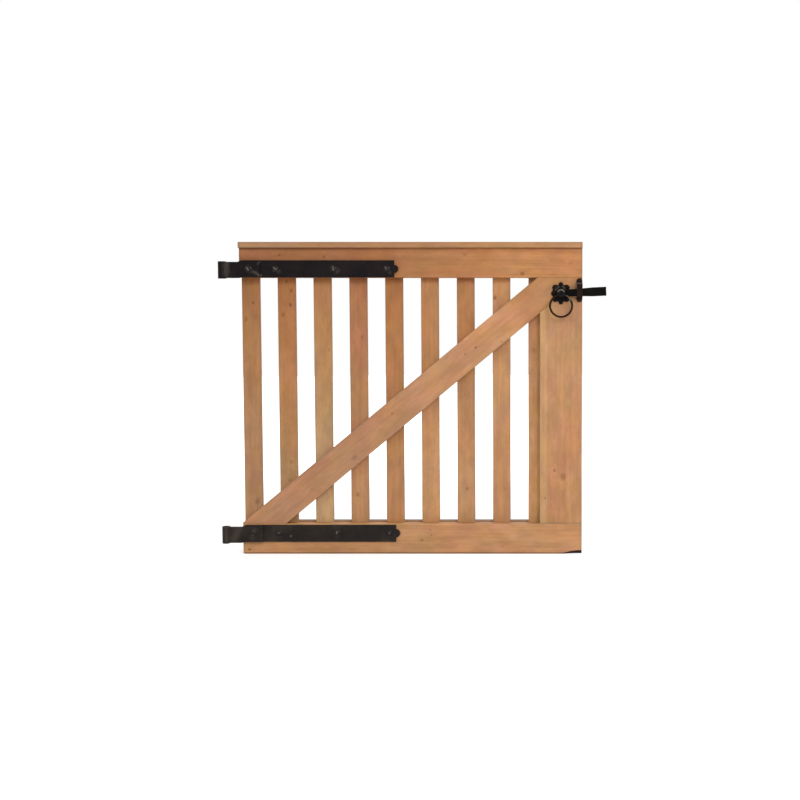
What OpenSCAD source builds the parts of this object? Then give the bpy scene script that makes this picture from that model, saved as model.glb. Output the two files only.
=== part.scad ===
// Garden gate leaf: upright slats held between front and back rails, with a diagonal brace,
// two strap hinges and a ring latch. The origin is the centre of the lower hinge eye, +X runs
// along the leaf to the latch, -Y is the front face and +Z is up.

/* [Leaf] */
// Width of the leaf
leaf_w = 1000; // [900:10:1200]
// Height of the leaf without its cap
leaf_h = 900; // [740:2:1200]
// Number of upright slats
slat_count = 10; // [8:1:11]
// Width of a slat
slat_w = 52; // [40:1:60]
// Thickness of a slat
slat_t = 18; // [14:1:24]
// Thickness of the rails, the stiles and the brace
board_t = 28; // [22:1:34]
// Height of the top rails
top_rail_h = 86; // [72:1:110]
// Height of the bottom rails
bottom_rail_h = 90; // [72:1:110]
// Width of the closing stile
stile_w = 124; // [110:1:150]
// Width of the brace
brace_w = 84; // [60:1:102]
// Thickness of the cap
cap_t = 17; // [12:1:30]
// Overhang of the cap, front and back
cap_overhang = 13; // [0:1:20]
// Rounding of the boards' long edges
edge_r = 2; // [0.5:0.5:4]

/* [Wear of the bottom rail] */
// Rounding of its lower corner on the hinge side
corner_r = 6; // [1:1:15]
// Length of the waney arris on the latch side
wane_len = 60; // [20:1:90]
// Height of the waney arris on the front face
wane_h = 11; // [4:1:16]

/* [Strap hinges] */
// Distance from the pivot to the leaf's edge
pivot_offset = 49; // [40:1:80]
// Diameter of the post's pin
pin_d = 12; // [10:0.1:20]
// Thickness of the strap
strap_t = 5; // [3:0.5:6]
// Height of the strap
strap_h = 50; // [40:1:60]
// Length of the strap on the leaf, up to its shoulder
strap_len = 452; // [360:1:600]
// Radius of the round nub at the strap's end
nub_r = 12; // [6:1:18]
// Length of the folded end on the leaf
fold_len = 61; // [45:1:90]
// How much narrower the strap's neck is
neck_waist = 3; // [0:0.5:8]
// Height of the lower strap's middle above the leaf's foot
lower_strap_z = 62; // [40:1:80]
// Drop of the lower eye below its strap
lower_eye_drop = 4; // [0:0.5:6]
// Drop of the upper eye below its strap
upper_eye_drop = 3; // [0:0.5:6]
// Diameter of the coach bolts
bolt_d = 8; // [6:1:10]

/* [Ring latch] */
// Distance from the spindle to the leaf's closing edge
spindle_inset = 62.5; // [50:0.5:72]
// Drop of the spindle below the top rail
spindle_drop = 45.5; // [42:0.5:70]
// Side of the square spindle
spindle_side = 8; // [6:0.5:10]
// Reach of the bar from the spindle
bar_len = 131.5; // [105:0.5:160]
// Width of the bar's shank
bar_w = 21; // [16:0.5:26]
// Width of the bar's head
bar_head_w = 26; // [18:0.5:30]
// Thickness of the bar
bar_t = 6; // [4:0.5:8]
// Angle of the bar when it rests in its guide
bar_tilt = 2.5; // [1:0.1:4]
// Radius of the rose over its side lobes
rose_r = 28.5; // [24:0.5:32]
// Diameter of the ring's bar
ring_wire = 6; // [4:0.5:7]
// Outer diameter of the ring
ring_d = 70; // [56:1:80]
// Radius of the ring's hub
hub_r = 12; // [10:0.5:14]
// Room for the bar to rise in its guide
guide_lift = 13; // [8:0.5:20]

/* [Hidden] */
$fn = 64;

front_wood = "#BA8254";
shaded_wood = "#A9774F";
black_iron = "#2B2726";

move_gap = 5;                    // air between a moving piece and its neighbour
rest_gap = 0.3;                  // air where a moving piece rests on a fixed one
turn_gap = 1;                    // air beside a piece that turns on its spindle
pin_play = 0.25;                 // air round a pin
bolt_play = 0.5;                 // air round a bolt or a screw
screw_r = 2;

// Planes of the leaf: its left edge, its foot, and the layers from front to back
edge_x = pivot_offset;
foot_z = lower_eye_drop - lower_strap_z;
front_y = strap_t;
slat_y = front_y + board_t;
back_y = slat_y + slat_t;
rear_y = back_y + board_t;

// Frame
opening_h = leaf_h - bottom_rail_h - top_rail_h;
slat_pitch = (leaf_w - slat_w) / (slat_count - 1);
stile_x = leaf_w - stile_w;
wane_level = 6;                  // from the closing edge to the deepest point of the wane

// Brace, from the foot of the hinge side to the top of the latch side
brace_past = 4;                  // how far beyond the leaf's edge its upper side meets the rail
brace_foot = brace_cut_for(brace_w) - brace_past;
brace_angle = atan2(opening_h, leaf_w - brace_foot);

// Strap hinges
eye_r = pin_d / 2 + pin_play;
roll_r = eye_r + strap_t;
roll_fillet = 6;
fold_gap = 0.6;
neck_h = strap_h - neck_waist;
neck_slope = 11;
neck_x = edge_x - 2;
bolt_places = [31, 107, 277, strap_len - 20];
lower_hinge_z = foot_z + lower_strap_z;
upper_hinge_z = foot_z + leaf_h - top_rail_h + strap_h / 2;

// Ring latch, from the wood's face outwards
spindle_x = edge_x + leaf_w - spindle_inset;
spindle_z = foot_z + leaf_h - top_rail_h - spindle_drop;
spindle_r = spindle_side * sqrt(2) / 2;
rose_t = 3;
petal_t = 2;
collar_r = 12.5;
collar_t = petal_t + move_gap - turn_gap;
bar_back_y = front_y - rose_t - petal_t - move_gap;
bar_front_y = bar_back_y - bar_t;
bar_boss_r = bar_w / 2 + 3;
flare_start = 45;                // where the bar begins to widen, from the spindle
flare_end = 92;
hub_len = 18;
hub_eye_y = hub_len / 2;         // from the hub's foot to its cross hole
dome_r = 5;                      // rounding of the hub's outer rim
ring_drop = 4.5;                 // ring's bar below the spindle
ring_r = (ring_d - ring_wire) / 2;
socket_depth = 3;
back_hub_y = rear_y + rose_t + petal_t + move_gap;

// Bar guide
guide_w = 17;
guide_t = 4;
guide_foot = 13;
guide_near = spindle_inset - guide_w;         // from the spindle to the guide's near side
slot_floor_z = min(bar_low(guide_near), bar_low(spindle_inset)) - rest_gap;
slot_h = 2 * half_width(spindle_inset) + guide_lift;
guide_depth = front_y - bar_front_y + move_gap + guide_t;

// Length along the rail of a brace of this width; a few steps settle its slope
function brace_cut_for(w, cut = 130, steps = 8) =
    steps == 0 ? cut
    : brace_cut_for(w, w / sin(atan2(opening_h, leaf_w - cut + brace_past)), steps - 1);

// Half of the bar's width at a distance from the spindle
function half_width(x) =
    lookup(x, [[0, bar_w], [flare_start, bar_w], [flare_end, bar_head_w]]) / 2;

// Height of the resting bar's lower edge at a distance from the spindle
function bar_low(x) = x * tan(bar_tilt) - half_width(x) / cos(bar_tilt);

// Section of a board: a rectangle with rounded corners
module eased(w, t) {
    translate([edge_r, 0]) square([w - 2 * edge_r, t]);
    translate([0, edge_r]) square([w, t - 2 * edge_r]);
    for (x = [edge_r, w - edge_r])
        for (y = [edge_r, t - edge_r])
            translate([x, y]) circle(r = edge_r);
}

// Board along the leaf, with its lowest front corner at x, y, z
module lying(x, y, z, length, height, depth = board_t) {
    translate([edge_x + x, y, foot_z + z]) rotate([90, 0, 90])
        linear_extrude(length) eased(depth, height);
}

// Board that stands, with its lowest front corner at x, y, z
module standing(x, y, z, width, length, depth = board_t) {
    translate([edge_x + x, y, foot_z + z]) linear_extrude(length) eased(width, depth);
}

// Outline in the leaf's plane, cut right through the front layer
module through_front() {
    translate([edge_x, slat_y, foot_z]) rotate([90, 0, 0])
        linear_extrude(board_t) children();
}

// Hole for the spindle, through whatever wood it meets
module spindle_hole() {
    wood_play = 1.5;
    translate([spindle_x, rear_y + 1, spindle_z]) rotate([90, 0, 0])
        cylinder(r = spindle_r + wood_play, h = rear_y - front_y + 2);
}

module slat(i) {
    color(shaded_wood) difference() {
        standing((i - 1) * slat_pitch, slat_y, 0, slat_w, leaf_h, slat_t);
        spindle_hole();
    }
}

module front_top_rail() {
    color(front_wood) lying(0, front_y, leaf_h - top_rail_h, leaf_w, top_rail_h);
}

// Scoop along the lower arris, where the board keeps the round edge of the tree
module wane() {
    depth = wane_h / sqrt(2);
    reach = wane_len - wane_level;
    scoop_r = (reach * reach + depth * depth) / (2 * depth);
    translate([edge_x + leaf_w - wane_level, front_y, foot_z]) rotate([45, 0, 0])
        translate([0, depth - scoop_r, 0])
            cylinder(r = scoop_r, h = 4 * wane_h, center = true, $fn = 180);
}

// What a rounded corner takes off the foot of the hinge side
module lost_corner() {
    through_front() difference() {
        translate([-1, -1]) square(corner_r + 1);
        translate([corner_r, corner_r]) circle(r = corner_r);
    }
}

module front_bottom_rail() {
    color(front_wood) difference() {
        lying(0, front_y, 0, leaf_w, bottom_rail_h);
        wane();
        lost_corner();
    }
}

module brace() {
    overrun = 2 * brace_w;
    length = opening_h / sin(brace_angle) + 2 * overrun;
    color(front_wood) difference() {
        intersection() {
            translate([edge_x + brace_foot, front_y, foot_z + bottom_rail_h])
                rotate([0, -brace_angle, 0]) translate([-overrun, 0, 0]) rotate([90, 0, 90])
                    linear_extrude(length) eased(board_t, brace_w);
            through_front() translate([0, bottom_rail_h]) square([leaf_w, opening_h]);
        }
        spindle_hole();
    }
}

module front_stile() {
    left_h = (stile_x - brace_foot) * tan(brace_angle);
    color(front_wood) difference() {
        intersection() {
            standing(stile_x, front_y, bottom_rail_h, stile_w, opening_h);
            through_front() translate([stile_x, bottom_rail_h])
                polygon([[0, 0], [stile_w, 0], [stile_w, opening_h], [0, left_h]]);
        }
        spindle_hole();
    }
}

module back_top_rail() {
    color(shaded_wood) lying(0, back_y, leaf_h - top_rail_h, leaf_w, top_rail_h);
}

module back_bottom_rail() {
    color(shaded_wood) lying(0, back_y, 0, leaf_w, bottom_rail_h);
}

module back_stile() {
    color(shaded_wood) difference() {
        standing(stile_x, back_y, bottom_rail_h, stile_w, opening_h);
        spindle_hole();
    }
}

module cap() {
    depth = rear_y - front_y + 2 * cap_overhang;
    color(front_wood) lying(0, front_y - cap_overhang, leaf_h, leaf_w, cap_t, depth);
}

// Strap seen from above: a bar rolled round the pin and folded back over its own front
module strap_plan() {
    fillet_y = strap_t + roll_fillet;
    fillet_x = sqrt(pow(roll_r + roll_fillet, 2) - fillet_y * fillet_y);
    difference() {
        union() {
            circle(r = roll_r);
            translate([0, -strap_t]) square([edge_x + fold_len, 2 * strap_t]);
            square([edge_x + strap_len + nub_r, strap_t]);
            translate([0, -fillet_y]) square([fillet_x, 2 * fillet_y]);
        }
        circle(r = eye_r);
        for (side = [-1, 1]) translate([fillet_x, side * fillet_y]) circle(r = roll_fillet);
        translate([0, -fold_gap / 2]) square([edge_x + fold_len, fold_gap]);
    }
}

// Strap seen from the front: eye, narrower neck, straight bar with bolt holes, and round nub
module strap_front(drop) {
    difference() {
        union() {
            translate([-roll_r, -drop - strap_h / 2]) square([2 * roll_r, strap_h]);
            translate([0, -drop - neck_h / 2]) square([neck_x, neck_h]);
            polygon([
                [neck_x, -drop - neck_h / 2], [neck_x + neck_slope, -strap_h / 2],
                [edge_x + strap_len, -strap_h / 2], [edge_x + strap_len, strap_h / 2],
                [neck_x + neck_slope, strap_h / 2], [neck_x, -drop + neck_h / 2]
            ]);
            translate([edge_x + strap_len, 0]) circle(r = nub_r);
        }
        for (x = bolt_places) translate([edge_x + x, 0]) circle(d = bolt_d + 2 * bolt_play);
    }
}

module strap_hinge(z, drop) {
    reach = strap_h + drop;
    color(black_iron) translate([0, 0, z]) intersection() {
        translate([0, 0, -reach]) linear_extrude(2 * reach) strap_plan();
        translate([0, roll_r, 0]) rotate([90, 0, 0]) linear_extrude(2 * roll_r)
            strap_front(drop);
    }
}

module lower_hinge() {
    strap_hinge(lower_hinge_z, lower_eye_drop);
}

module upper_hinge() {
    strap_hinge(upper_hinge_z, upper_eye_drop);
}

// Places a piece of the latch at the spindle, with its +Z pointing out of the leaf's front
module on_front(y) {
    translate([spindle_x, y, spindle_z]) rotate([90, 0, 0]) children();
}

// The same for the back, with its +Z pointing out of the leaf's back
module on_back(y) {
    translate([spindle_x, y, spindle_z]) rotate([90, 0, 180]) children();
}

// Low round swelling of this radius and height
module petal(r, h) {
    curve_r = (r * r + h * h) / (2 * h);
    rotate_extrude() intersection() {
        translate([0, h - curve_r]) circle(r = curve_r, $fn = 128);
        square([r, h]);
    }
}

// Rose with a round lobe on each side, a lobe in each quarter, a small one above and below
// for the screws, and a collar
module rose() {
    lobe_r = 8.5;
    quarter_out = 3.5;           // how much farther out the lobes in the quarters stand
    end_lobe_r = 6;
    end_lobe_y = rose_r - 2;
    seat = 0.2;                  // depth of a petal in its lobe
    lobes = [for (a = [-45, 0, 45, 135, 180, 225])
        [a, rose_r - lobe_r + (a % 180 == 0 ? 0 : quarter_out)]];
    color(black_iron) difference() {
        union() {
            linear_extrude(rose_t) union() {
                circle(r = rose_r - 5);
                for (lobe = lobes) rotate(lobe[0]) translate([lobe[1], 0]) circle(r = lobe_r);
                for (side = [-1, 1]) translate([0, side * end_lobe_y]) circle(r = end_lobe_r);
            }
            for (lobe = lobes) rotate(lobe[0]) translate([lobe[1] + 1, 0, rose_t - seat])
                petal(lobe_r - 2.5, petal_t + seat);
            cylinder(r = collar_r, h = rose_t + collar_t);
        }
        translate([0, 0, -1]) cylinder(r = spindle_r + pin_play, h = rose_t + collar_t + 2);
        for (side = [-1, 1]) translate([0, side * end_lobe_y, -1])
            cylinder(r = screw_r + bolt_play, h = rose_t + 2);
    }
}

// Rectangle with two rounded outer corners, from y = 0 up to the given depth
module bridge(low, high, depth, bend_r) {
    translate([low, 0]) square([high - low, depth - bend_r]);
    translate([low + bend_r, 0]) square([high - low - 2 * bend_r, depth]);
    for (x = [low + bend_r, high - bend_r])
        translate([x, depth - bend_r]) circle(r = bend_r);
}

// Staple seen from the side: two feet on the wood and a bridge over the bar
module guide_profile() {
    inner_bend_r = 2;
    difference() {
        union() {
            bridge(-guide_t, slot_h + guide_t, guide_depth, inner_bend_r + guide_t);
            translate([-guide_t - guide_foot, 0])
                square([slot_h + 2 * (guide_t + guide_foot), guide_t]);
        }
        translate([0, -1]) bridge(0, slot_h, guide_depth - guide_t + 1, inner_bend_r);
    }
}

// Staple seen from the front: straight sides, round ends and a screw hole in each foot
module guide_outline() {
    end_r = guide_w / 2;
    length = slot_h + 2 * (guide_t + guide_foot);
    difference() {
        union() {
            translate([0, end_r]) square([guide_w, length - guide_w]);
            for (y = [end_r, length - end_r]) translate([end_r, y]) circle(r = end_r);
        }
        for (y = [guide_foot / 2, length - guide_foot / 2])
            translate([end_r, y]) circle(r = screw_r + bolt_play);
    }
}

// Staple that the bar rises and falls in
module bar_guide() {
    color(black_iron) translate([spindle_x + guide_near, front_y, spindle_z + slot_floor_z])
        intersection() {
            rotate([0, -90, 180]) linear_extrude(guide_w) guide_profile();
            translate([0, 0, -guide_t - guide_foot]) rotate([90, 0, 0])
                linear_extrude(guide_depth + 1) guide_outline();
        }
}

// Square bar that the spindle is cut from, turned with the latch
module square_bar(turn, length) {
    rotate(turn) translate([-spindle_side / 2, -spindle_side / 2, 0])
        cube([spindle_side, spindle_side, length]);
}

module spindle() {
    back_end = back_hub_y + socket_depth;
    front_end = bar_front_y - socket_depth;
    color(black_iron) on_front(back_end) square_bar(bar_tilt, back_end - front_end);
}

module latch_bar() {
    color(black_iron) on_front(bar_back_y) difference() {
        linear_extrude(bar_t) rotate(bar_tilt) {
            circle(r = bar_boss_r);
            polygon([
                [0, -bar_w / 2], [flare_start, -bar_w / 2], [flare_end, -bar_head_w / 2],
                [bar_len, -bar_head_w / 2], [bar_len, bar_head_w / 2],
                [flare_end, bar_head_w / 2], [flare_start, bar_w / 2], [0, bar_w / 2]
            ]);
        }
        translate([0, 0, -1]) square_bar(bar_tilt, bar_t + 2);
    }
}

// Room for the ring's bar at every swing: narrow in the middle, flared at both mouths
module ring_eye() {
    translate([0, -ring_drop, hub_eye_y]) rotate([0, 90, 0])
        rotate_extrude() difference() {
            translate([0, -hub_r - 1]) square([ring_r, 2 * hub_r + 2]);
            translate([ring_r, 0]) circle(r = ring_r - ring_wire / 2 - rest_gap);
        }
}

// Knob that carries the ring; its foot is at z = 0
module hub(turn) {
    color(black_iron) difference() {
        rotate_extrude() {
            square([hub_r, hub_len - dome_r]);
            square([hub_r - dome_r, hub_len]);
            translate([hub_r - dome_r, hub_len - dome_r]) intersection() {
                circle(r = dome_r);
                square(dome_r);
            }
        }
        ring_eye();
        translate([0, 0, -1]) square_bar(turn, socket_depth + 1);
    }
}

module ring() {
    color(black_iron) translate([0, -ring_drop - ring_r, hub_eye_y])
        rotate_extrude() translate([ring_r, 0]) circle(d = ring_wire);
}

for (i = [1:slat_count])
    slat(i);
front_top_rail();
front_bottom_rail();
front_stile();
brace();
back_top_rail();
back_bottom_rail();
back_stile();
cap();
lower_hinge();
upper_hinge();
on_front(front_y) rose();  // front_rose
on_back(rear_y) rose();  // back_rose
bar_guide();
spindle();
latch_bar();
on_front(bar_front_y) hub(bar_tilt);  // front_hub
on_back(back_hub_y) hub(-bar_tilt);  // back_hub
on_front(bar_front_y) ring();  // front_ring
on_back(back_hub_y) ring();  // back_ring
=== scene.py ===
import math
import random

import bmesh
import bpy
from mathutils import Euler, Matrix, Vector


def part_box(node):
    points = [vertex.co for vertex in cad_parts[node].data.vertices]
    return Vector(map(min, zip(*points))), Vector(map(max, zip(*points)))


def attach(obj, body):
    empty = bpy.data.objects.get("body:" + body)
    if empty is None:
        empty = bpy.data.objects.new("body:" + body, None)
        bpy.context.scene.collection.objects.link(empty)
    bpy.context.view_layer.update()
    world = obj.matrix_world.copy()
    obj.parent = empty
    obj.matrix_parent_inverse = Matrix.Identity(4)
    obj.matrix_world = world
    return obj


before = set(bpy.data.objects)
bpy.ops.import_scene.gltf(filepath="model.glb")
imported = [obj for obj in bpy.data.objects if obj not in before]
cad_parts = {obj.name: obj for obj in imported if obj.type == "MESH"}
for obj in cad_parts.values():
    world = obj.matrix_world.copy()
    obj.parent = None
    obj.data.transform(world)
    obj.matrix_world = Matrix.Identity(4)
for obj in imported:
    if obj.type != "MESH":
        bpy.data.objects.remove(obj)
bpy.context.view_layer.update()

MM = 0.001
SENSOR_MM = 36.0

# Camera: its place, how far it looks down, its focal length in picture widths, and the point of the
# picture that it looks straight at, from the left and from the top.
CAMERA_PLACE = Vector((0.912, -3.500, 0.679))
CAMERA_DOWN = math.radians(3.67)
FOCAL_WIDTHS = 1.4983
AIM_ACROSS = 0.6692
AIM_DOWN = 0.4762

# The leaf's foot and hinge side, and the middle of the gate, which the lamps look at.
FOOT_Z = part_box("front_bottom_rail")[0].z
LEAF_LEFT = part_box("front_bottom_rail")[0].x
CENTRE = Vector((0.55, 0.04, 0.40))

# Light of the world on the gate; where it is seen, it is white.
WORLD_LEVEL = 0.58


# ---------------------------------------------------------------- shading tools

def srgb(red, green, blue):
    """Linear colour of an sRGB colour written in 0 to 255."""
    linear = [c / 12.92 if c <= 0.04045 else ((c + 0.055) / 1.055) ** 2.4
              for c in (red / 255, green / 255, blue / 255)]
    return (*linear, 1.0)


def scaled(colour, *factors):
    """Colour with its red, green and blue multiplied."""
    if len(factors) == 1:
        factors = factors * 3
    return tuple(min(1.0, c * f) for c, f in zip(colour, factors)) + (1.0,)


class Shade:
    """The node tree of a material or of the world, with short ways to build its nodes."""

    def __init__(self, owner):
        self.owner = owner
        owner.use_nodes = True
        self.tree = owner.node_tree
        self.tree.nodes.clear()

    def plug(self, socket, value):
        if isinstance(value, bpy.types.NodeSocket):
            self.tree.links.new(value, socket)
        else:
            socket.default_value = value

    def node(self, kind, inputs=None, **settings):
        made = self.tree.nodes.new("ShaderNode" + kind)
        for key, value in settings.items():
            setattr(made, key, value)
        for key, value in (inputs or {}).items():
            self.plug(made.inputs[key], value)
        return made

    def math(self, operation, *values, clamp=False):
        made = self.node("Math", operation=operation, use_clamp=clamp)
        for socket, value in zip(made.inputs, values):
            self.plug(socket, value)
        return made.outputs[0]

    def add(self, a, b):
        return self.math("ADD", a, b)

    def sub(self, a, b):
        return self.math("SUBTRACT", a, b)

    def mul(self, a, b):
        return self.math("MULTIPLY", a, b)

    def vector(self, operation, *values):
        made = self.node("VectorMath", operation=operation)
        for socket, value in zip(made.inputs, values):
            self.plug(socket, value)
        return made.outputs["Value" if operation in ("DOT_PRODUCT", "LENGTH") else "Vector"]

    def ease(self, value, low, high, out_low=0.0, out_high=1.0):
        """Smooth step of value from low to high."""
        made = self.node("MapRange", interpolation_type="SMOOTHSTEP")
        self.plug(made.inputs["Value"], value)
        for key, number in (("From Min", low), ("From Max", high),
                            ("To Min", out_low), ("To Max", out_high)):
            self.plug(made.inputs[key], number)
        return made.outputs["Result"]

    def stretch(self, vector, scale, offset=(0, 0, 0)):
        made = self.node("Mapping", {"Vector": vector, "Scale": scale, "Location": offset})
        return made.outputs["Vector"]

    def noise(self, vector, scale=1.0, detail=2.0, roughness=0.5):
        made = self.node("TexNoise", {"Vector": vector, "Scale": scale, "Detail": detail,
                                      "Roughness": roughness})
        return made.outputs[0]

    def mix(self, amount, a, b):
        made = self.node("Mix", data_type="RGBA", clamp_factor=True)
        for index, value in ((0, amount), (6, a), (7, b)):
            self.plug(made.inputs[index], value)
        return made.outputs[2]

    def tint(self, colour, *factors):
        """Colour with its red, green and blue multiplied."""
        return self.vector("MULTIPLY", colour, factors)

    def darken(self, colour, amount):
        """Colour times a grey amount."""
        return self.vector("MULTIPLY", colour, amount)

    def segment_gap(self, point, start, end):
        """Distance from a point to the segment between two places."""
        start, end = Vector(start), Vector(end)
        run = end - start
        away = self.vector("SUBTRACT", point, tuple(start))
        share = self.vector("DOT_PRODUCT", away, tuple(run / run.length_squared))
        share = self.math("MULTIPLY", share, 1.0, clamp=True)
        near = self.vector("MULTIPLY", tuple(run), share)
        return self.vector("LENGTH", self.vector("SUBTRACT", away, near))

    def bump(self, height, distance, strength):
        made = self.node("Bump", {"Height": height, "Distance": distance, "Strength": strength})
        return made.outputs["Normal"]

    def end(self, shader, output="OutputMaterial"):
        """Leads a shader to the tree's output, and returns what owns the tree."""
        self.node(output, {"Surface": shader.outputs[0]})
        return self.owner

    def finish(self, **sockets):
        """Ends in a principled shader with these sockets set."""
        shader = self.node("BsdfPrincipled")
        for key, value in sockets.items():
            self.plug(shader.inputs[key.replace("_", " ")], value)
        return self.end(shader)


# ---------------------------------------------------------------- wood

# Tints of the arrises: the first paints a highlight on them, the second paints shade.
ARRIS_HIGHLIGHT = (1.10, 1.15, 1.18)
ARRIS_SHADE = (0.84, 0.95, 1.02)


def board_frame(node, tilt):
    """Place and size of a board: along the grain, through the thickness, and across."""
    low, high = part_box(node)
    size = high - low
    if tilt == 0:
        return low, (size.x, size.y, size.z)
    return Vector((high.x, low.y, low.z)), (size.z, size.y, size.x)


class Board:
    """A board's own measures in its material. The grain runs along it; through goes into the board
    from its front face, and across over its width."""

    def __init__(self, shade, place, size, tilt):
        self.length, self.thick, self.width = size
        self.tilt = tilt
        here = shade.node("TexCoord").outputs["Object"]
        mapping = shade.node("Mapping", {"Vector": here, "Location": place,
                                         "Rotation": (0.0, -tilt, 0.0)}, vector_type="TEXTURE")
        self.local = mapping.outputs["Vector"]
        parts = shade.node("SeparateXYZ", {"Vector": self.local})
        self.along, self.through, self.across = parts.outputs
        self.normal = shade.node("NewGeometry").outputs["Normal"]


def side_gap(s, value, span):
    """Distance to the nearer one of a pair of sides."""
    return s.math("MINIMUM", value, s.sub(span, value))


def knot_marks(s, board, knots, ripple):
    """Where each knot or fleck shows, with its strength, and how far the rings bulge there."""
    bulge = None
    marks = []
    for along, across, radius, strength in knots:
        gap_along = s.mul(s.sub(board.along, along * MM), 0.75)
        gap_across = s.sub(board.across, across * MM)
        reach = s.node("CombineXYZ", {"X": gap_along, "Y": gap_across}).outputs[0]
        gap = s.add(s.vector("LENGTH", reach), s.mul(ripple, 0.9 * radius * MM))
        spot = s.ease(gap, 0.4 * radius * MM, 1.8 * radius * MM, 1.0, 0.0)
        marks.append((spot, strength))
        if strength > 0:
            swell = s.ease(gap, 0.0, 5.5 * radius * MM, 2.2 * radius * MM, 0.0)
            bulge = swell if bulge is None else s.add(bulge, swell)
    return marks, bulge


def growth_rings(s, board, pith, taper, ring, wander, bulge):
    """Rings around the log's middle, a little conical: the share of a year's growth from 0 to 1,
    and how strongly its late wood shows."""
    pith_depth, pith_share = pith
    deep = s.add(s.sub(board.through, pith_depth * MM), s.mul(wander, 0.7))
    aside = s.add(s.sub(board.across, pith_share * board.width), wander)
    flat = s.node("CombineXYZ", {"X": deep, "Y": aside}).outputs[0]
    radius = s.add(s.vector("LENGTH", flat), s.mul(board.along, taper))
    if bulge is not None:
        radius = s.add(radius, bulge)
    uneven = s.node("TexNoise", {"W": s.mul(radius, 70.0), "Detail": 2.0},
                    noise_dimensions="1D").outputs[0]
    rings = s.add(s.mul(radius, 1.0 / (ring * MM)), s.mul(uneven, 2.4))
    phase = s.math("FRACT", rings)
    late = s.mul(s.ease(phase, 0.20, 0.82), s.ease(phase, 0.84, 1.0, 1.0, 0.0))
    return phase, late


def clear_wood(s, board, base, shift, figure, late):
    """Colour of the wood with its long fibres and streaks, and with patches that are darker, redder
    or yellower. Returns the fibres and the streaks too."""
    local = board.local
    fibre = s.noise(s.stretch(local, (14, 700, 700), shift[2]), 1.0, 4.0, 0.65)
    streak = s.noise(s.stretch(local, (3.2, 120, 120), shift[3]), 1.0, 4.0, 0.6)
    mottle = s.noise(s.stretch(local, (6, 20, 20), shift[4]), 1.0, 3.0, 0.55)
    cloud = s.noise(s.stretch(local, (2.4, 7, 7), shift[5]), 1.0, 2.0)
    blotch = s.noise(s.stretch(local, (15, 34, 34), shift[6]), 1.0, 3.0, 0.6)
    hue = s.noise(s.stretch(local, (12, 20, 20), shift[7]), 1.0, 2.0, 0.5)

    colour = s.mix(s.ease(mottle, 0.36, 0.64), s.tint(base, 1.02, 0.96, 0.935),
                   s.tint(base, 0.985, 1.03, 1.025))
    colour = s.mix(s.ease(hue, 0.38, 0.62), s.tint(colour, 1.00, 1.01, 0.93),
                   s.tint(colour, 1.00, 0.99, 1.07))
    clear = s.mul(s.ease(board.along, 0.0, board.length, *figure),
                  s.ease(cloud, 0.30, 0.70, 0.5, 1.2))
    colour = s.mix(s.mul(clear, late), colour, s.tint(base, 0.72, 0.60, 0.50))
    colour = s.darken(colour, s.ease(streak, 0.30, 0.70, 0.94, 1.06))
    colour = s.darken(colour, s.ease(fibre, 0.28, 0.72, 0.95, 1.04))
    colour = s.darken(colour, s.ease(blotch, 0.30, 0.70, 0.89, 1.10))
    colour = s.darken(colour, s.ease(cloud, 0.25, 0.75, 0.91, 1.08))
    return colour, fibre, streak


def sapwood_and_painted_light(s, board, colour, strip, sway):
    """Pale strip along the far side, or along the near side if its width is negative. Along the far
    side it is sapwood; along the near side it is painted light.
    """
    inward = s.sub(board.width, board.across) if strip > 0 else board.across
    edge = s.add(inward, s.mul(sway, 0.02))
    pale = s.ease(edge, (abs(strip) - 4) * MM, (abs(strip) + 4) * MM, 1.0, 0.0)
    return s.mix(pale, colour, s.tint(colour, 1.08, 1.20, 1.16))


def knot_colour(s, base, colour, marks, phase):
    for spot, strength in marks:
        if strength > 0:
            inner = s.mix(s.ease(phase, 0.2, 0.9), s.tint(base, 0.42, 0.31, 0.24),
                          s.tint(base, 0.28, 0.19, 0.14))
        else:
            inner = s.tint(base, 1.35, 1.45, 1.50)
        colour = s.mix(s.mul(spot, abs(strength)), colour, inner)
    return colour


def arris_light_and_shade(s, board, colour, streak, arris_tint, open_ends):
    """Tints the arrises: a lighter tint paints a highlight on them, a darker one paints shade. The
    distance to the nearest arris is the middle one of the distances to the board's three pairs of
    sides."""
    to_face = side_gap(s, board.through, board.thick)
    to_edge = side_gap(s, board.across, board.width)
    arris = s.math("MAXIMUM", to_face, to_edge)
    if open_ends:
        less = s.math("MINIMUM", to_face, to_edge)
        to_end = side_gap(s, board.along, board.length)
        arris = s.math("MAXIMUM", less, s.math("MINIMUM", arris, to_end))
    arris_paint = s.mul(s.ease(arris, 0.0008, 0.0042, 1.0, 0.0), s.ease(streak, 0.35, 0.6, 0.6, 1.0))
    return s.mix(arris_paint, colour, s.tint(colour, *arris_tint))


def end_grain(s, board, base, colour, open_ends):
    """Darkens the end grain, which soaks up more, and the wood next to an open end."""
    axis = (math.cos(board.tilt), 0.0, math.sin(board.tilt))
    facing = s.vector("DOT_PRODUCT", board.normal, axis)
    ending = s.ease(s.math("ABSOLUTE", facing), 0.75, 0.95)
    colour = s.mix(s.mul(ending, 0.55), colour, s.tint(base, 0.62, 0.50, 0.40))
    if open_ends:
        to_end = side_gap(s, board.along, board.length)
        wick = s.mul(s.ease(to_end, 0.002, 0.008, 1.0, 0.0), s.sub(1.0, ending))
        colour = s.mix(wick, colour, s.tint(colour, 0.80, 0.88, 0.94))
    return colour


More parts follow.
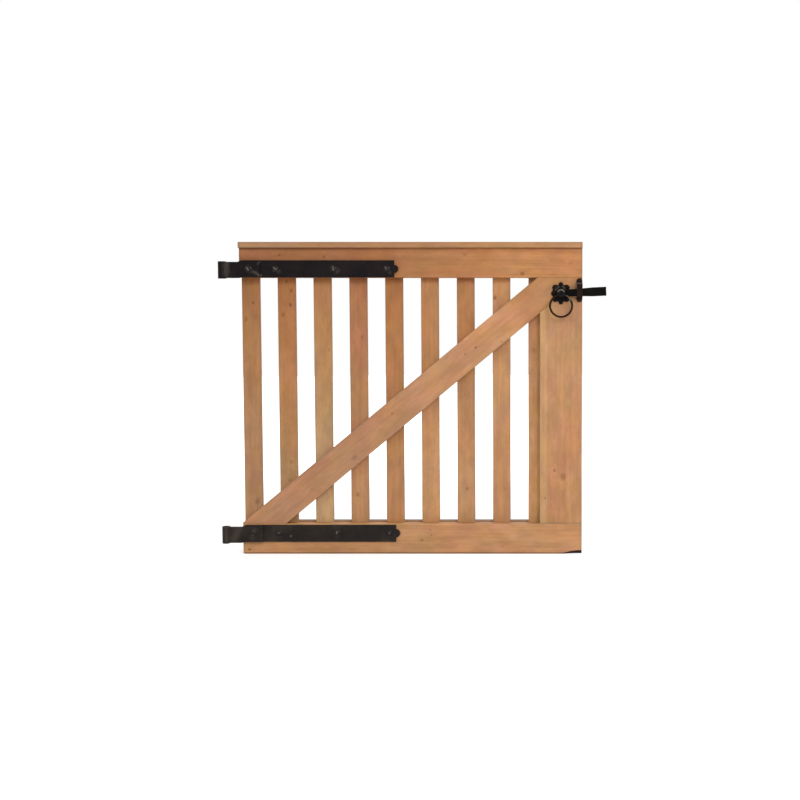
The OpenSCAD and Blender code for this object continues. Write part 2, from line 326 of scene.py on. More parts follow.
def painted_shade(s, board, colour, ripple, grime, foot, stain):
    """Painted shade: on the faces that look up, along the lower edge, and at the far end below the
    rail.
    """
    # Painted shade: the faces that look up are darkened.
    if grime < 1.0:
        up = s.ease(s.vector("DOT_PRODUCT", board.normal, (0.0, 0.0, 1.0)), 0.80, 0.97)
        dirt_and_shade = s.node("MapRange", {"Value": up, "To Min": 1.0, "To Max": grime})
        colour = s.darken(colour, dirt_and_shade.outputs[0])
    # Painted shade along the lowest few mm, where the lower arris lies in shade.
    if foot:
        level = s.add(board.across, s.mul(ripple, 0.002))
        low_shade = s.ease(level, 0.8 * foot * MM, 1.2 * foot * MM, 1.0, 0.0)
        colour = s.mix(low_shade, colour, s.tint(colour, 0.50, 0.48, 0.50))
    # Painted shade at the far end, below the rail.
    if stain:
        start, end, tint = stain
        under_rail = s.ease(s.add(board.along, s.mul(ripple, 0.004)), start * MM, end * MM)
        colour = s.mix(under_rail, colour, s.tint(colour, *tint))
    return colour


def barky(s, board, colour, rough, bark):
    """Bark on the waney arris at the far end: colour and roughness."""
    slant = s.vector("DOT_PRODUCT", board.normal, (0.0, -0.7071, -0.7071))
    near_end = s.ease(board.along, board.length - (bark + 4) * MM, board.length - bark * MM)
    skin = s.mul(s.ease(slant, 0.82, 0.93), near_end)
    scab = s.noise(s.stretch(board.local, (160, 420, 420)), 1.0, 4.0, 0.7)
    crust = s.mix(s.ease(scab, 0.35, 0.65), srgb(22, 8, 3), srgb(54, 25, 10))
    return s.mix(skin, colour, crust), s.math("MAXIMUM", rough, s.mul(skin, 0.9))


def wood(name, near, far, place, size, tilt=0.0, seed=1, pith=(90, 0.5), taper=0.012, ring=3.4,
         figure=(0.25, 0.25), knots=(), arris_tint=ARRIS_SHADE, foot=0.0, grime=1.0,
         pale_strip=0.0, bark=0.0, stain=(), open_ends=True):
    """Planed softwood. near and far are the tones at the start and at the end, and figure how
    clearly the growth rings show there. pith is the log's middle: mm behind the face, and share of
    the width. ring is a year's growth in mm. knots are (along, across, radius, strength) with
    lengths in mm; a pale fleck has a negative strength. foot is the height in mm of the painted
    shade along the lower edge, grime the painted shade of the faces that look up, pale_strip the
    width in mm of a pale strip (sapwood along the far side, painted light along the near side), and
    bark the length in mm of the barky arris at the far end. stain paints shade on the far end,
    below the top rail: from and to in mm, and the tint there."""
    s = Shade(bpy.data.materials.new(name))
    board = Board(s, place, size, tilt)
    draw = random.Random(seed)
    shift = [tuple(draw.uniform(-9, 9) for _ in range(3)) for _ in range(8)]
    base = s.mix(s.ease(board.along, 0.08 * board.length, 0.92 * board.length),
                 srgb(*near), srgb(*far))

    # The grain sways along the board, and bulges around the knots.
    sway = s.sub(s.noise(s.stretch(board.local, (1.6, 7, 7), shift[0]), 1.0, 2.0), 0.5)
    ripple = s.sub(s.noise(s.stretch(board.local, (9, 60, 60), shift[1]), 1.0, 2.0), 0.5)
    wander = s.add(s.mul(sway, 0.030), s.mul(ripple, 0.0016))
    marks, bulge = knot_marks(s, board, knots, ripple)
    phase, late = growth_rings(s, board, pith, taper, ring, wander, bulge)

    colour, fibre, streak = clear_wood(s, board, base, shift, figure, late)
    if pale_strip:
        colour = sapwood_and_painted_light(s, board, colour, pale_strip, sway)
    colour = knot_colour(s, base, colour, marks, phase)
    colour = arris_light_and_shade(s, board, colour, streak, arris_tint, open_ends)
    colour = end_grain(s, board, base, colour, open_ends)
    colour = painted_shade(s, board, colour, ripple, grime, foot, stain)
    rough = s.ease(fibre, 0.2, 0.8, 0.56, 0.78)
    if bark:
        colour, rough = barky(s, board, colour, rough, bark)
    relief = s.add(s.mul(late, 0.25), s.mul(fibre, 0.7))
    return s.finish(Base_Color=colour, Roughness=rough, Specular_IOR_Level=0.30,
                    Normal=s.bump(relief, 0.0003, 0.5))


# ---------------------------------------------------------------- iron

def iron(name, tone, wear=0.5, dust=0.3, rough=(0.40, 0.58), seed=1, grain=1.0, shine=0.28,
         scuffs_and_highlights=()):
    """Black paint over forged steel: a fine uneven skin, rubbed arrises and a little dust.
    scuffs_and_highlights are pale marks as (x, z, x, z, radius, strength), from one place to
    another
    in mm: a few are scuffs, most are painted highlights and glints."""
    s = Shade(bpy.data.materials.new(name))
    draw = random.Random(seed)
    base = srgb(*tone)
    spot = s.node("TexCoord").outputs["Object"]
    offset = (draw.uniform(-5, 5), draw.uniform(-5, 5), draw.uniform(-5, 5))
    here = s.stretch(spot, (1, 1, 1), offset)
    skin = s.noise(here, 420.0 * grain, 3.0, 0.6)
    dents = s.noise(here, 70.0 * grain, 2.0, 0.5)
    patch = s.noise(here, 14.0, 3.0, 0.6)
    specks = s.noise(here, 900.0, 2.0, 0.7)

    colour = s.mix(s.ease(patch, 0.35, 0.65), scaled(base, 0.80), scaled(base, 1.25, 1.20, 1.12))
    colour = s.mix(s.mul(s.ease(specks, 0.60, 0.72), 0.35), colour, scaled(base, 2.6, 2.4, 2.2))

    geometry = s.node("NewGeometry").outputs["Normal"]
    rounded = s.node("Bevel", {"Radius": 0.0011}, samples=4).outputs["Normal"]
    sharp = s.sub(1.0, s.vector("DOT_PRODUCT", geometry, rounded))
    rubbed = s.mul(s.ease(sharp, 0.04, 0.22), s.ease(skin, 0.40, 0.62))
    rubbed = s.mul(rubbed, s.ease(patch, 0.30, 0.62, 0.35, 1.0))
    colour = s.mix(s.mul(rubbed, wear), colour, srgb(104, 96, 88))
    flat = s.vector("MULTIPLY", spot, (1, 0, 1))
    # Pale marks: a few scuffs, and painted highlights and glints.
    for x1, z1, x2, z2, reach, strength in scuffs_and_highlights:
        gap = s.segment_gap(flat, (x1 * MM, 0, z1 * MM), (x2 * MM, 0, z2 * MM))
        gap = s.add(gap, s.mul(s.sub(dents, 0.5), 0.8 * reach * MM))
        mark = s.mul(s.ease(gap, 0.1 * reach * MM, reach * MM, strength, 0.0),
                     s.ease(skin, 0.3, 0.6, 0.5, 1.0))
        colour = s.mix(mark, colour, srgb(126, 116, 104))

    up = s.node("SeparateXYZ", {"Vector": geometry}).outputs["Z"]
    settled = s.mul(s.ease(up, 0.25, 0.95), s.ease(dents, 0.3, 0.7, 0.4, 1.0))
    film = s.mul(s.ease(patch, 0.45, 0.75), 0.25)
    dirt_and_shade = s.math("MAXIMUM", s.mul(settled, 0.55), film)
    colour = s.mix(s.mul(dirt_and_shade, dust), colour, srgb(112, 96, 80))

    roughness = s.add(s.ease(skin, 0.3, 0.7, rough[0], rough[1]), s.mul(dirt_and_shade, 0.10))
    roughness = s.sub(roughness, s.mul(rubbed, 0.08))
    relief = s.add(s.mul(skin, 0.35), s.mul(dents, 1.3))
    return s.finish(Base_Color=colour, Roughness=roughness, Specular_IOR_Level=shine,
                    Normal=s.bump(relief, 0.0004, 0.5))


# ---------------------------------------------------------------- sizes

# Height and thickness of the straps, width of the brace, how far its lower side's foot lies short
# of its full cut, and the middle of the spindle.
STRAP_H = 50 * MM
STRAP_T = 5 * MM
BRACE_W = 84 * MM
BRACE_PAST = 4 * MM
SPINDLE = sum(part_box("spindle"), Vector()) / 2

# Strap bolts: where they stand along the leaf, and where the strap's folded end stops.
BOLT_PLACES_MM = (31, 107, 277, 432)
FOLD_END_MM = 61
HEAD_R = 9.6 * MM
HEAD_H = 4.4 * MM
HEAD_RIM = 1.0 * MM
WASHER_R = 12 * MM
WASHER_T = 1.7 * MM
NUT_HALF_FLAT = 6.5 * MM
NUT_H = 6.4 * MM
NUT_CHAMFER = 0.9 * MM
BOLT_R = 3.9 * MM
BOLT_END = 11.4 * MM
BOLT_END_SPREAD = 1.2 * MM
THREAD_PITCH = 1.25 * MM
THREAD_DEPTH = 0.55 * MM

# Screws of the latch, and the plates that they hold.
SCREW_R = 3.7 * MM
SCREW_H = 2.3 * MM
ROSE_T = 3 * MM
ROSE_SCREW_REACH = 26.5 * MM
GUIDE_T = 4 * MM
GUIDE_FOOT = 13 * MM

# How far washers, bolt heads and screws are let into what carries them, so that no gap shows.
WASHER_SUNK = 0.5 * MM
HEAD_SUNK = 0.8 * MM
SCREW_SUNK = 0.6 * MM

# Corners sharper than this stay sharp.
SMOOTH_BELOW = math.radians(35)


# ---------------------------------------------------------------- small metal pieces

def mesh_piece(name, fill):
    """Object whose mesh is filled by a function that is given a bmesh."""
    bm = bmesh.new()
    fill(bm)
    bmesh.ops.recalc_face_normals(bm, faces=bm.faces)
    mesh = bpy.data.meshes.new(name)
    bm.to_mesh(mesh)
    bm.free()
    piece = bpy.data.objects.new(name, mesh)
    bpy.context.scene.collection.objects.link(piece)
    return piece


def circle_row(bm, place, reach, level, steps, turn=0.0):
    """Points around the Y axis through place, at a level along it. reach is the radius, or a
    function that gives it at an angle."""
    row = []
    for i in range(steps):
        angle = 2 * math.pi * i / steps
        radius = reach(angle) if callable(reach) else reach
        row.append(bm.verts.new(place + Vector((radius * math.cos(angle + turn), level,
                                                radius * math.sin(angle + turn)))))
    return row


def join_rows(bm, rows):
    """Faces from each row to the next one. A row of one point is a tip."""
    for lower, upper in zip(rows, rows[1:]):
        for i in range(max(len(lower), len(upper))):
            corners = []
            for row, at in ((lower, i), (lower, i + 1), (upper, i + 1), (upper, i)):
                corner = row[at % len(row)]
                if corner not in corners:
                    corners.append(corner)
            if len(corners) > 2:
                bm.faces.new(corners)


def turned(bm, profile, place, steps=40):
    """Solid turned from (radius, height) points, its axis along -Y from place, or along +Y if the
    heights run negative."""
    rows = []
    for radius, height in profile:
        rows.append(circle_row(bm, place, radius, -height, steps if radius > 0 else 1))
    join_rows(bm, rows)


def dome(radius, height, rim):
    """Profile of a domed head on a short straight rim, let into what it stands on."""
    steps = 9
    curve = (radius * radius + (height - rim) ** 2) / (2 * (height - rim))
    top = math.asin(radius / curve)
    points = [(0, -HEAD_SUNK), (radius * 0.9, -HEAD_SUNK), (radius * 0.985, 0),
              (radius, rim * 0.5), (radius, rim)]
    for i in range(1, steps):
        angle = top * (1 - i / steps)
        points.append((curve * math.sin(angle), rim + curve * (math.cos(angle) - math.cos(top))))
    return points + [(0, height)]


def shade_smooth(piece):
    """Smooth shading but for the sharp corners."""
    for polygon in piece.data.polygons:
        polygon.use_smooth = True
    bm = bmesh.new()
    bm.from_mesh(piece.data)
    for edge in bm.edges:
        if len(edge.link_faces) == 2 and edge.calc_face_angle(0) > SMOOTH_BELOW:
            edge.smooth = False
    bm.to_mesh(piece.data)
    bm.free()


def iron_piece(name, fill, material):
    """Piece of ironwork that rides with the leaf."""
    piece = mesh_piece(name, fill)
    shade_smooth(piece)
    piece.data.materials.append(material)
    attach(piece, "leaf")


def strap_bolts(hinge, nut_metal, head_metal, seed):
    """The four coach bolts of a strap: domed heads in front, and washers, nuts and thread ends
    behind."""
    draw = random.Random(seed)
    strap_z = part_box(hinge)[1].z - 0.5 * STRAP_H
    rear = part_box("back_top_rail")[1].y

    def heads(bm):
        for along in BOLT_PLACES_MM:
            face = 0.0 if along > FOLD_END_MM else -STRAP_T
            place = Vector((LEAF_LEFT + along * MM, face, strap_z))
            turned(bm, dome(HEAD_R, HEAD_H, HEAD_RIM), place)

    def nuts(bm):
        for along in BOLT_PLACES_MM:
            place = Vector((LEAF_LEFT + along * MM, rear, strap_z))
            turned(bm, [(0, WASHER_SUNK), (WASHER_R - 0.4 * MM, WASHER_SUNK), (WASHER_R, 0.1 * MM),
                        (WASHER_R, 0.4 * MM - WASHER_T), (WASHER_R - 0.6 * MM, -WASHER_T),
                        (0, -WASHER_T)], place)
            hex_nut(bm, place + Vector((0, WASHER_T, 0)), draw.uniform(0, math.pi / 3))
            thread(bm, place, BOLT_END + draw.uniform(0, 1) * BOLT_END_SPREAD)

    iron_piece(hinge + "_bolt_heads", heads, head_metal)
    iron_piece(hinge + "_nuts", nuts, nut_metal)


def hex_nut(bm, foot, turn):
    """Nut with both its ends chamfered, its foot at foot and its axis along +Y."""
    steps = 36
    sixth = math.pi / 3

    def hexagon(angle):
        return NUT_HALF_FLAT / math.cos((angle + sixth / 2) % sixth - sixth / 2)

    chamfered = NUT_HALF_FLAT * 0.97
    levels = ((chamfered, 0), (hexagon, NUT_CHAMFER), (hexagon, NUT_H - NUT_CHAMFER),
              (chamfered, NUT_H), (BOLT_R + 0.5 * MM, NUT_H), (BOLT_R, NUT_H - 0.5 * MM))
    rows = [circle_row(bm, foot, reach, level, steps, turn) for reach, level in levels]
    join_rows(bm, rows)
    bm.faces.new(rows[0])
    bm.faces.new(rows[-1])


def thread(bm, place, end):
    """End of a bolt with shallow grooves, along +Y from its nut."""
    level = WASHER_T + NUT_H
    start = 2 * MM - level
    points = [(0, start), (BOLT_R, start)]
    while level < end - THREAD_PITCH:
        points += [(BOLT_R, -level), (BOLT_R - THREAD_DEPTH, -level - THREAD_PITCH / 2)]
        level += THREAD_PITCH
    points += [(BOLT_R, -level), (BOLT_R - 0.8 * MM, -end), (0, -end)]
    turned(bm, points, place, steps=28)


def pan_screw(bm, place, turn, facing):
    """Round-headed screw with a cross recess. facing is -1 for the front and 1 for the back."""
    steps = 32
    profile = [(SCREW_R * 0.92, -SCREW_SUNK), (SCREW_R, 0), (SCREW_R, SCREW_H * 0.25)]
    for i in range(1, 7):
        angle = math.pi / 2 * i / 7
        profile.append((SCREW_R * math.cos(angle * 0.62) * (1 - 0.02 * i),
                        SCREW_H * (0.25 + 0.72 * math.sin(angle))))
    rows = [circle_row(bm, place, reach, facing * level, steps, turn)
            for reach, level in profile]
    join_rows(bm, rows)
    bm.faces.new(rows[0])
    cross_top(bm, rows[-1], place, turn, facing)


def cross_top(bm, rim, place, turn, facing):
    """Closes a screw's head with a top that has a cross sunk into it."""
    recess = SCREW_R * 0.50
    arm = SCREW_R * 0.13
    depth = SCREW_H * 0.45
    outline = []
    for quarter in range(4):
        angle = quarter * math.pi / 2 + turn
        ahead = Vector((math.cos(angle), 0, math.sin(angle)))
        side = Vector((-math.sin(angle), 0, math.cos(angle)))
        outline += [ahead * arm + side * -arm, ahead * recess + side * -arm,
                    ahead * recess + side * arm]
    top = [bm.verts.new(place + p + Vector((0, facing * SCREW_H, 0))) for p in outline]
    low = [bm.verts.new(place + p * 0.8 + Vector((0, facing * (SCREW_H - depth), 0)))
           for p in outline]
    join_rows(bm, [top, low])
    bm.faces.new(low)
    loops = [bm.edges.get((row[i - 1], row[i])) for row in (rim, top) for i in range(len(row))]
    bmesh.ops.bridge_loops(bm, edges=loops)


# ---------------------------------------------------------------- materials on the CAD nodes

def set_material(node, material):
    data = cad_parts[node].data
    data.materials.clear()
    data.materials.append(material)


# Tilt of the grain in upright boards, and the height in mm of the painted shade along the lower
# edge of the bottom rails.
UPRIGHT = math.radians(90)
SHADED_FOOT = 4.8

# Tones of the slats at their feet and at their tops, and their knots, pale strips and painted
# shade below the rail, as wood() takes them. The darker tops are partly painted shade below the top
# rail, and slat 9's lighter tones are partly painted light against the stile's shadow.
SLAT_TONES = (
    ((176, 133, 96), (168, 114, 68)), ((182, 139, 95), (170, 112, 66)),
    ((193, 158, 114), (174, 124, 78)), ((185, 139, 97), (172, 115, 77)),
    ((188, 133, 89), (167, 113, 65)), ((198, 148, 102), (181, 125, 78)),
    ((189, 140, 97), (170, 117, 73)), ((182, 134, 95), (194, 140, 96)),
    ((200, 146, 98), (182, 130, 88)), ((186, 134, 94), (178, 126, 86)),
)
SLAT_KNOTS = {
    1: ((741, 19, 3.2, 0.75), (693, 41, 5, 0.35), (152, 15, 6, 0.4), (700, 12, 4, 0.2)),
    2: ((776, 12, 3.5, 0.6), (735, 15, 3.5, 0.75), (706, 36, 5, 0.45), (803, 25, 3, 0.6),
        (270, 19, 4, 0.35), (215, 24, 4, 0.35), (240, 36, 5, 0.2)),
    3: ((560, 24, 2.5, 0.3), (602, 8, 2.5, 0.3)),
    4: ((641, 16, 2.6, 0.4), (172, 32, 4.5, 0.4)),
    5: ((430, 25, 3, 0.25),),
    6: ((250, 30, 3, 0.2),),
    7: ((190, 24, 3.4, 0.5), (470, 30, 3, 0.2)),
    8: ((756, 45, 4, 0.7), (190, 18, 3, 0.25)),
    9: ((602, 36, 6, 0.3),),
    10: ((520, 26, 4, 0.6), (200, 22, 3, 0.6)),
}
# Slat 9's pale strip lies along its near side: painted light against the stile's shadow.
SLAT_PAINTED_LIGHT = {9: -36}
# Painted shade at the slats' tops, below the top rail.
SLAT_RAIL_SHADE = (795, 809, (0.96, 0.87, 0.74))


def timber_board(node, near, far, tilt=0.0, **look):
    """Gives a board that lies along its box its own wood."""
    place, size = board_frame(node, tilt)
    set_material(node, wood(f"wood_{node}", near, far, place, size, tilt=tilt, **look))


def front_timber():
    # The top rail is darker at its left end: wood tone, and painted shade under the cap. The stile
    # and the brace get painted shade where they meet the top rail.
    timber_board("front_top_rail", (154, 99, 62), (187, 129, 81), seed=11, pith=(70, 0.2),
                 taper=0.004, figure=(0.10, 0.35), arris_tint=ARRIS_HIGHLIGHT,
                 knots=((118, 65, 2.4, 0.7), (248, 60, 3, 0.6), (247, 74, 2.5, -0.5),
                        (657, 67, 3, 0.35), (825, 12, 4, 0.55), (966, 41, 4, 0.3)))
    timber_board("front_bottom_rail", (191, 140, 93), (198, 146, 104), seed=12, pith=(120, 0.7),
                 taper=0.006, figure=(0.12, 0.22), arris_tint=ARRIS_HIGHLIGHT, foot=SHADED_FOOT,
                 grime=0.88, bark=58,
                 knots=((18, 13, 3, 0.8), (528, 41, 3.2, 0.55), (556, 56, 2.6, 0.5),
                        (552, 72, 3, 0.3), (764, 23, 3, 0.2)))
    timber_board("front_stile", (189, 137, 96), (184, 136, 95), UPRIGHT, seed=13,
                 pith=(60, 0.40), taper=0.020, ring=5.0, figure=(0.22, 0.10),
                 knots=((158, 81, 3, 0.65), (139, 55, 7, 0.45), (76, 108, 2.4, 0.6)),
                 pale_strip=20, stain=(702, 718, (0.85, 0.80, 0.67)))
    place, slope, length = brace_frame()
    thick = board_frame("brace", 0)[1][1]
    set_material("brace", wood(
        "wood_brace", (185, 135, 99), (197, 143, 100), place, (length, thick, BRACE_W),
        tilt=slope, seed=14, pith=(85, 0.3), taper=0.014, ring=6.0, figure=(0.06, 0.04),
        knots=((764, 42, 2.6, 0.7), (728, 47, 2, 0.7), (758, 80, 3, -0.6), (833, 7, 4, 0.2),
               (281, 21, 6, 0.3), (451, 50, 2.4, 0.5), (125, 30, 3, 0.25)),
        stain=(880, 985, (0.82, 0.78, 0.68)), open_ends=False))


def slats():
    for i, (near, far) in enumerate(SLAT_TONES, start=1):
        draw = random.Random(100 + i)
        timber_board(f"slat_{i}", near, far, UPRIGHT, seed=20 + i,
                     pith=(draw.uniform(30, 140), draw.uniform(-0.6, 1.6)),
                     taper=draw.uniform(0.006, 0.02), ring=draw.uniform(3.4, 6.0),
                     figure=(0.16, 0.12), knots=SLAT_KNOTS[i],
                     pale_strip=SLAT_PAINTED_LIGHT.get(i, 0), stain=SLAT_RAIL_SHADE)


def back_timber():
    timber_board("back_top_rail", (182, 131, 91), (187, 135, 94), seed=41, pith=(-60, 0.6),
                 taper=0.014, knots=((240, 30, 5, 0.8), (660, 62, 7, 0.8)),
                 arris_tint=ARRIS_HIGHLIGHT)
    timber_board("back_bottom_rail", (180, 129, 90), (184, 133, 93), seed=42, pith=(-90, 0.3),
                 taper=0.010, knots=((420, 50, 5, 0.8), (905, 26, 3, 0.7)), foot=SHADED_FOOT,
                 grime=0.50)
    timber_board("back_stile", (186, 135, 95), (190, 138, 98), UPRIGHT, seed=43,
                 pith=(-70, 0.55), taper=0.018, ring=4.4,
                 knots=((520, 60, 7, 0.8), (230, 30, 4, 0.7)))
    # The cap's arrises get a darker tint: painted shade.
    timber_board("cap", (171, 126, 88), (182, 132, 89), seed=44, pith=(45, -1.5), taper=0.006,
                 ring=4.0, figure=(0.12, 0.20), arris_tint=(0.80, 0.88, 0.94))


def brace_frame():
    """Foot of the brace's lower side, its slope and its length, from the box of its CAD node."""
    low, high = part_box("brace")
    foot = 0.12
    for _ in range(12):
        run = high.x - low.x - foot
        slope = math.atan2(high.z - low.z, run)
        foot = BRACE_W / math.sin(slope) - BRACE_PAST
    return Vector((low.x + foot, low.y, low.z)), slope, run / math.cos(slope)


# Pale marks on the straps and on their bolt heads, as iron() takes them: on the straps a few
# scuffs, with painted highlights on the eyes and around the bolts; on the heads painted glints.
UPPER_SCUFFS_AND_HIGHLIGHTS = (
    (94.6, 772, 111.9, 761.9, 6, 0.30), (105.5, 795.3, 111.4, 801.1, 6, 0.14),
    (76, 784, 85, 775, 12, 0.16), (155, 782, 166, 774, 10, 0.14), (323, 784, 335, 775, 12, 0.18),
    (14, 764, 14, 798, 14, 0.24), (476, 782, 488, 772, 9, 0.12),
)
# Painted glints on the upper bolt heads.
UPPER_HEAD_GLINTS = (
    (71, 787, 79, 778, 3.4, 0.75), (150, 786, 158, 780, 3.2, 0.6), (323, 787, 325, 779, 4, 0.6),
    (476, 786, 478, 782, 4, 0.6),
)
LOWER_SCUFFS_AND_HIGHLIGHTS = (
    (190.4, -4.5, 191, -3.5, 4.5, 0.6), (79, -6, 86, 14, 13, 0.12), (326, -4, 330, 10, 12, 0.08),
    (156, -2, 158, 9, 12, 0.08), (4, -14, 4, 20, 9, 0.15), (24, -12, 40, 18, 16, 0.14),
)
# Painted glints on the lower bolt heads.
LOWER_HEAD_GLINTS = (
    (80.6, 12.8, 81.6, 12.4, 3, 0.45), (78.9, -0.9, 80, -1, 3, 0.5), (155.7, 6.3, 156.5, 6, 4, 0.5),
    (326.8, 9, 326.4, 3, 3.4, 0.65), (482.3, 6.5, 481.6, 4, 3.4, 0.5),
)


def ironwork():
    upper = iron("iron_upper_hinge", (20, 15, 17), wear=0.5, dust=0.12, seed=3, shine=0.08,
                 scuffs_and_highlights=UPPER_SCUFFS_AND_HIGHLIGHTS)
    lower = iron("iron_lower_hinge", (34, 29, 26), wear=0.5, dust=0.35, seed=4, shine=0.13,
                 scuffs_and_highlights=LOWER_SCUFFS_AND_HIGHLIGHTS)
    upper_heads = iron("iron_upper_heads", (18, 14, 15), wear=0.5, dust=0.2, rough=(0.16, 0.26),
                       seed=7, grain=2.2, shine=0.16, scuffs_and_highlights=UPPER_HEAD_GLINTS)
    lower_heads = iron("iron_lower_heads", (32, 27, 25), wear=0.5, dust=0.3, rough=(0.22, 0.34),
                       seed=11, grain=2.2, shine=0.12, scuffs_and_highlights=LOWER_HEAD_GLINTS)
    latch = iron("iron_latch", (12, 9, 8), wear=0.5, dust=0.10, rough=(0.28, 0.42), seed=5,
                 grain=1.6, shine=0.04)
    # The guide's pale line at the bend of its upper foot is a painted highlight.
    guide = iron("iron_guide", (33, 20, 15), wear=0.5, dust=0.15, rough=(0.30, 0.45), seed=9,
                 grain=1.6, shine=0.06, scuffs_and_highlights=((1033, 739.3, 1048, 739.3, 2.6, 0.5),))
    rusty = iron("iron_rusty_screws", (66, 34, 15), wear=0.3, dust=0.1, rough=(0.4, 0.55),
                 seed=13, grain=2.0, shine=0.1)
    # The hub's pale arcs are painted highlights.
    hub = iron("iron_hub", (14, 11, 10), wear=1.0, dust=0.12, rough=(0.16, 0.26), seed=10,
               grain=1.8, shine=0.10,
               scuffs_and_highlights=((977, 715, 982, 720.5, 3.2, 0.9), (982, 720.5, 991, 720.5, 3.2, 0.8),
                       (991, 720.5, 996, 715, 3.2, 0.9)))
    # The rose's pale marks are painted highlights.
    rose = iron("iron_rose", (25, 17, 16), wear=0.5, dust=0.12, rough=(0.28, 0.42), seed=12,
                grain=1.6, shine=0.05, scuffs_and_highlights=((972, 722, 980, 730, 5, 0.3),
                                               (992, 730, 1001, 721, 5, 0.3)))
    # The ring's pale streak is a painted highlight.
    ring = iron("iron_ring", (42, 22, 10), wear=0.3, dust=0.1, rough=(0.25, 0.38), seed=6,
                grain=2.0, shine=0.06, scuffs_and_highlights=((1001, 711, 1016, 693, 6, 0.8),))
    nuts = iron("iron_nuts", (40, 36, 34), wear=0.8, dust=0.5, rough=(0.35, 0.55), seed=8,
                grain=2.0, shine=0.2)
    for node, material in (("upper_hinge", upper), ("lower_hinge", lower), ("bar_guide", guide),
                           ("front_rose", rose), ("back_rose", rose), ("spindle", latch),
                           ("latch_bar", latch), ("front_hub", hub), ("back_hub", hub),
                           ("front_ring", ring), ("back_ring", ring)):
        set_material(node, material)
    strap_bolts("upper_hinge", nuts, upper_heads, 31)
    strap_bolts("lower_hinge", nuts, lower_heads, 32)
    latch_screws(rose, rusty)


def rose_web(bm, face, facing):
    """Thin web between the lobes of a rose, with a rounded rim and a low wave."""
    levels = ((19.0, 0.3), (25.4, 0.3), (26.4, 0.9), (26.2, 1.7), (25.0, 2.3), (19.0, 2.5))
    place = Vector((SPINDLE.x, face, SPINDLE.z))
    rows = []
    for reach_mm, level_mm in levels:
        def waved(angle):
            return (reach_mm + 0.5 * math.cos(8 * angle)) * MM
        rows.append(circle_row(bm, place, waved, facing * level_mm * MM, 96))
    join_rows(bm, rows + rows[:1])


def latch_screws(rose_metal, guide_metal):
    """Screws of both roses and of the bar's guide, and the webs between the roses' lobes."""
    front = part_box("front_stile")[0].y
    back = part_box("back_stile")[1].y
    guide_low, guide_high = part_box("bar_guide")
    rose_levels = (SPINDLE.z - ROSE_SCREW_REACH, SPINDLE.z + ROSE_SCREW_REACH)
    guide_levels = (guide_low.z + GUIDE_FOOT / 2, guide_high.z - GUIDE_FOOT / 2)

    def pair(x, y, levels, turns, facing):
        def fill(bm):
            for z, turn in zip(levels, turns):
                pan_screw(bm, Vector((x, y, z)), turn, facing)
        return fill

    iron_piece("front_rose_screws",
               pair(SPINDLE.x, front - ROSE_T, rose_levels, (0.4, 1.1), -1), rose_metal)
    iron_piece("back_rose_screws",
               pair(SPINDLE.x, back + ROSE_T, rose_levels, (0.2, 0.9), 1), rose_metal)
    iron_piece("bar_guide_screws",
               pair((guide_low.x + guide_high.x) / 2, front - GUIDE_T, guide_levels, (0.7, 0.1),
                    -1), guide_metal)
    iron_piece("front_rose_web", lambda bm: rose_web(bm, front, -1), rose_metal)
    iron_piece("back_rose_web", lambda bm: rose_web(bm, back, 1), rose_metal)


# ---------------------------------------------------------------- stage, light, camera

def seen_rays(s):
    """1 for rays of the camera, of reflections and through glass, and 0 for all other light."""
    path = s.node("LightPath").outputs
    seen = s.math("MAXIMUM", path["Is Camera Ray"], path["Is Glossy Ray"])
    return s.math("MAXIMUM", seen, path["Is Transmission Ray"])


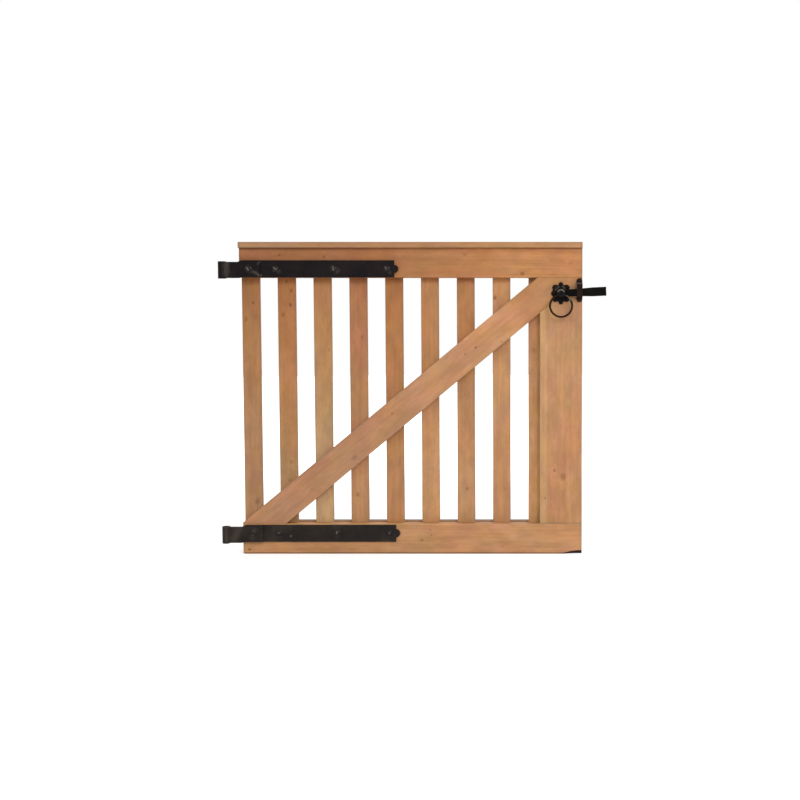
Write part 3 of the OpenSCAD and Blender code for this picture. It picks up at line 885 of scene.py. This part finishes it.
def stage_floor():
    """White floor that keeps the object's shadow, so it glows less near the gate."""
    reach = 9.0
    below = 0.2 * MM
    near, far, near_glow = 0.7, 2.2, 0.50
    s = Shade(bpy.data.materials.new("white_floor"))
    spot = s.node("TexCoord").outputs["Object"]
    glow_level = s.ease(s.vector("LENGTH", spot), near, far, near_glow, 1.0)
    tint = s.mix(s.noise(spot, 3.0, 3.0), (0.80, 0.80, 0.80, 1.0), (0.82, 0.82, 0.82, 1.0))
    paper = s.node("BsdfDiffuse", {"Color": tint})
    glow = s.node("Emission", {"Color": (1, 1, 1, 1), "Strength": s.mul(seen_rays(s), glow_level)})
    both = s.node("AddShader", {0: paper.outputs[0], 1: glow.outputs[0]})

    def fill(bm):
        bmesh.ops.create_circle(bm, cap_ends=True, segments=96, radius=reach)

    floor = mesh_piece("floor", fill)
    floor.location = (CENTRE.x, CENTRE.y, FOOT_Z - below)
    floor.data.materials.append(s.end(both))


def white_world(level):
    """World that looks white and lights the scene at a level."""
    world = bpy.data.worlds.new("white_world")
    bpy.context.scene.world = world
    s = Shade(world)
    strength = s.node("MapRange", {"Value": seen_rays(s), "To Min": level, "To Max": 1.0})
    sky = s.node("Background", {"Color": (1, 1, 1, 1), "Strength": strength.outputs[0]})
    s.end(sky, "OutputWorld")


def soft_lamp(name, place, size, watts):
    """Round lamp that looks at the middle of the gate."""
    lamp = bpy.data.lights.new(name, "AREA")
    lamp.shape = "DISK"
    lamp.size = size
    lamp.energy = watts
    holder = bpy.data.objects.new(name, lamp)
    holder.location = place
    holder.rotation_euler = (CENTRE - Vector(place)).to_track_quat("-Z", "Y").to_euler()
    bpy.context.scene.collection.objects.link(holder)


def lights():
    white_world(WORLD_LEVEL)
    soft_lamp("key_lamp", (2.4, -3.35, 2.3), 2.2, 73)
    soft_lamp("glint_lamp", (-1.5, -2.8, 2.2), 0.35, 13)
    soft_lamp("rear_lamp", (0.9, 3.2, 2.8), 2.4, 45)


def camera():
    data = bpy.data.cameras.new("camera")
    data.sensor_width = SENSOR_MM
    data.sensor_fit = "HORIZONTAL"
    data.lens = FOCAL_WIDTHS * SENSOR_MM
    data.shift_x = 0.5 - AIM_ACROSS
    data.shift_y = AIM_DOWN - 0.5
    data.dof.use_dof = False
    holder = bpy.data.objects.new("camera", data)
    holder.location = CAMERA_PLACE
    holder.rotation_euler = Euler((math.radians(90) - CAMERA_DOWN, 0, 0))
    bpy.context.scene.collection.objects.link(holder)
    bpy.context.scene.camera = holder


camera()
front_timber()
slats()
back_timber()
ironwork()
stage_floor()
lights()
bpy.context.scene.view_settings.view_transform = "Standard"
